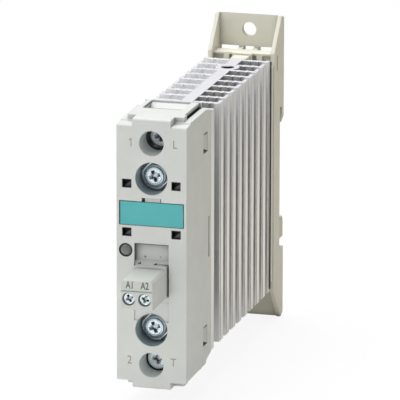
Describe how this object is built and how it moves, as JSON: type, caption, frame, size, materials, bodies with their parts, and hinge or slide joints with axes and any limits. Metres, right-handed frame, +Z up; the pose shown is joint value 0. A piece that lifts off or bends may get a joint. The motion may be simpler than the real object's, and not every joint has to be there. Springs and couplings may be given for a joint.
{
  "type": "solid state relay",
  "caption": "Slim solid state relay on a finned heat sink with a plug-in control terminal and a rail foot that also takes panel screws.",
  "frame": {"origin": "centre of the face that seats on the 35 mm rail, on the rail's centre line", "axes": "+Z up, +Y from the relay's front towards the rail, +X across the width to the right seen from the front"},
  "size_m": [0.0226, 0.1354, 0.1016],
  "materials": {
    "housing_grey": "fine matt moulded thermoplastic",
    "frame_grey": "matt moulded thermoplastic",
    "label_teal": "matt moulded plate",
    "plug_grey": "satin moulded polyamide",
    "lens_smoke": "clear tinted acrylic",
    "led_clear": "clear epoxy",
    "zinc_steel": "zinc plated and blue passivated",
    "tinned_copper": "tinned copper",
    "bare_aluminium": "mill finish extrusion",
    "bracket_grey": "matt glass-filled polyamide",
    "latch_grey": "matt polyamide",
    "spring_steel": "music wire",
    "board_green": "solder resist on glass-epoxy",
    "pad_white": "filled silicone sheet",
    "ceramic_white": "alumina ceramic",
    "chip_grey": "polished silicon",
    "part_black": "moulded epoxy",
    "capacitor_yellow": "coated film capacitor",
    "varistor_blue": "epoxy coating",
    "resistor_beige": "lacquered body"
  },
  "bodies": {
    "relay": {"front_housing": "housing_grey", "rear_frame": "frame_grey", "led_lens": "lens_smoke", "led": "led_clear", "terminal_busbar_1": "tinned_copper", "terminal_busbar_2": "tinned_copper", "fixing_screws": "zinc_steel", "fixing_washers": "zinc_steel", "base_plate": "bare_aluminium", "thermal_pad": "pad_white", "power_substrate": "ceramic_white", "power_thyristors": "chip_grey", "circuit_board": "board_green", "optocoupler": "part_black", "snubber_capacitor": "capacitor_yellow", "varistor": "varistor_blue", "board_resistors": "resistor_beige", "gate_pins": "tinned_copper", "control_socket": "frame_grey", "socket_pins": "tinned_copper", "heat_sink": "bare_aluminium", "rail_bracket": "bracket_grey", "bracket_screws": "zinc_steel", "latch_spring": "spring_steel"},
    "control_connector": {"control_plug": "plug_grey", "plug_contacts": "tinned_copper"},
    "label_plate": {"label_plate": "label_teal"},
    "control_screw_a1": {"control_screw_a1": "zinc_steel"},
    "control_screw_a2": {"control_screw_a2": "zinc_steel"},
    "plug_cage_a1": {"plug_cage_a1": "zinc_steel"},
    "plug_cage_a2": {"plug_cage_a2": "zinc_steel"},
    "terminal_screw_1": {"terminal_screw_1": "zinc_steel"},
    "terminal_screw_2": {"terminal_screw_2": "zinc_steel"},
    "terminal_clamp_1": {"terminal_clamp_1": "zinc_steel"},
    "terminal_clamp_2": {"terminal_clamp_2": "zinc_steel"},
    "rail_latch": {"rail_latch": "latch_grey"}
  },
  "joints": [
    {"name": "label_plate_pull", "type": "slide", "parent": "relay", "child": "label_plate", "axis": [0, -1, 0], "range_m": [0, 0.003]},
    {"name": "rail_latch_slide", "type": "slide", "parent": "relay", "child": "rail_latch", "axis": [0, 0, -1], "range_m": [0, 0.003], "stiffness_N_per_m": 1500, "springref_m": -0.004, "deforming": ["latch_spring"]},
    {"name": "control_plug_pull", "type": "slide", "parent": "relay", "child": "control_connector", "axis": [0, -1, 0], "range_m": [0, 0.012]},
    {"name": "control_screw_a1_turn", "type": "hinge", "parent": "control_connector", "child": "control_screw_a1", "pos_m": [-0.00254, -0.1298, -0.0107], "axis": [0, 1, 0], "range_deg": [-5, 1160]},
    {"name": "plug_cage_a1_slide", "type": "slide", "parent": "control_connector", "child": "plug_cage_a1", "axis": [0, -1, 0], "range_m": [0, 0.0016]},
    {"name": "control_screw_a2_turn", "type": "hinge", "parent": "control_connector", "child": "control_screw_a2", "pos_m": [0.00254, -0.1298, -0.0107], "axis": [0, 1, 0], "range_deg": [-5, 1160]},
    {"name": "plug_cage_a2_slide", "type": "slide", "parent": "control_connector", "child": "plug_cage_a2", "axis": [0, -1, 0], "range_m": [0, 0.0016]},
    {"name": "terminal_clamp_1_slide", "type": "slide", "parent": "relay", "child": "terminal_clamp_1", "axis": [0, 1, 0], "range_m": [-0.003, 0.0011]},
    {"name": "terminal_screw_1_turn", "type": "hinge", "parent": "terminal_clamp_1", "child": "terminal_screw_1", "pos_m": [0, -0.1039, 0.03465], "axis": [0, 1, 0], "range_deg": [-1547.9, 570.7]},
    {"name": "terminal_clamp_2_slide", "type": "slide", "parent": "relay", "child": "terminal_clamp_2", "axis": [0, 1, 0], "range_m": [-0.0004, 0.0037]},
    {"name": "terminal_screw_2_turn", "type": "hinge", "parent": "terminal_clamp_2", "child": "terminal_screw_2", "pos_m": [0, -0.1065, -0.03615], "axis": [0, 1, 0], "range_deg": [-210.7, 1907.9]}
  ],
  "couplings": [
    {"joint": "control_screw_a1_turn", "follows": "plug_cage_a1_slide", "rad_per_m": 12566},
    {"joint": "control_screw_a2_turn", "follows": "plug_cage_a2_slide", "rad_per_m": 12566},
    {"joint": "terminal_screw_1_turn", "follows": "terminal_clamp_1_slide", "rad_per_m": 8976},
    {"joint": "terminal_screw_2_turn", "follows": "terminal_clamp_2_slide", "rad_per_m": 8976}
  ]
}
